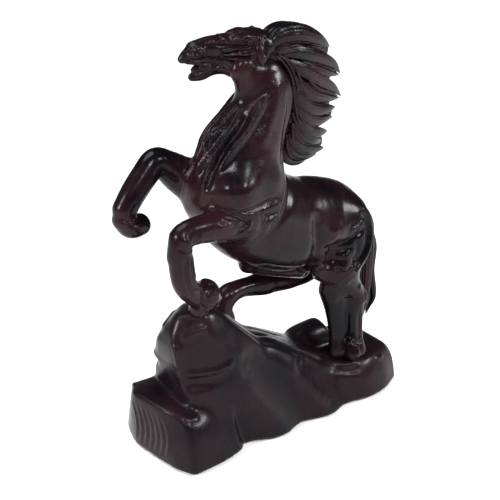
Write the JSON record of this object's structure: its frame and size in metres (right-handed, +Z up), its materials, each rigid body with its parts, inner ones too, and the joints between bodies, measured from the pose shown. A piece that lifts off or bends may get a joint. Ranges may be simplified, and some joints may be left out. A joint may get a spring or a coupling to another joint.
{
  "type": "horse figurine",
  "caption": "Dark carved wood figurine of a rearing horse on a rock, with open mouth, swept mane and one foreleg raised, standing on a felt-covered base.",
  "frame": {"origin": "middle of the felt under the rock, on the surface that the figurine stands on", "axes": "+Z up; the horse faces -X; its left side, which leads on the rock, is towards -Y"},
  "size_m": [0.142, 0.0545, 0.1911],
  "materials": {
    "carved_wood": "hand-carved blackwood under a thin glossy lacquer",
    "rock_wood": "blackwood rock, satin lacquer with gouge marks",
    "dowel_wood": "plain turned beech, unfinished",
    "felt": "black pressed wool felt"
  },
  "bodies": {
    "root": {"horse_body": "carved_wood", "horse_head": "carved_wood", "mane": "carved_wood", "near_foreleg": "carved_wood", "far_foreleg": "carved_wood", "near_hind_leg": "carved_wood", "far_hind_leg": "carved_wood", "tail": "carved_wood", "rock_base": "rock_wood", "base_felt": "felt", "head_dowel": "dowel_wood", "near_foreleg_dowel": "dowel_wood", "far_foreleg_dowel": "dowel_wood", "near_hind_leg_dowel": "dowel_wood", "far_hind_leg_dowel": "dowel_wood", "tail_dowel": "dowel_wood", "upper_mane_dowel": "dowel_wood", "lower_mane_dowel": "dowel_wood", "near_fore_hoof_dowel": "dowel_wood", "near_hind_hoof_dowel": "dowel_wood", "far_hind_hoof_dowel": "dowel_wood"}
  },
  "joints": []
}
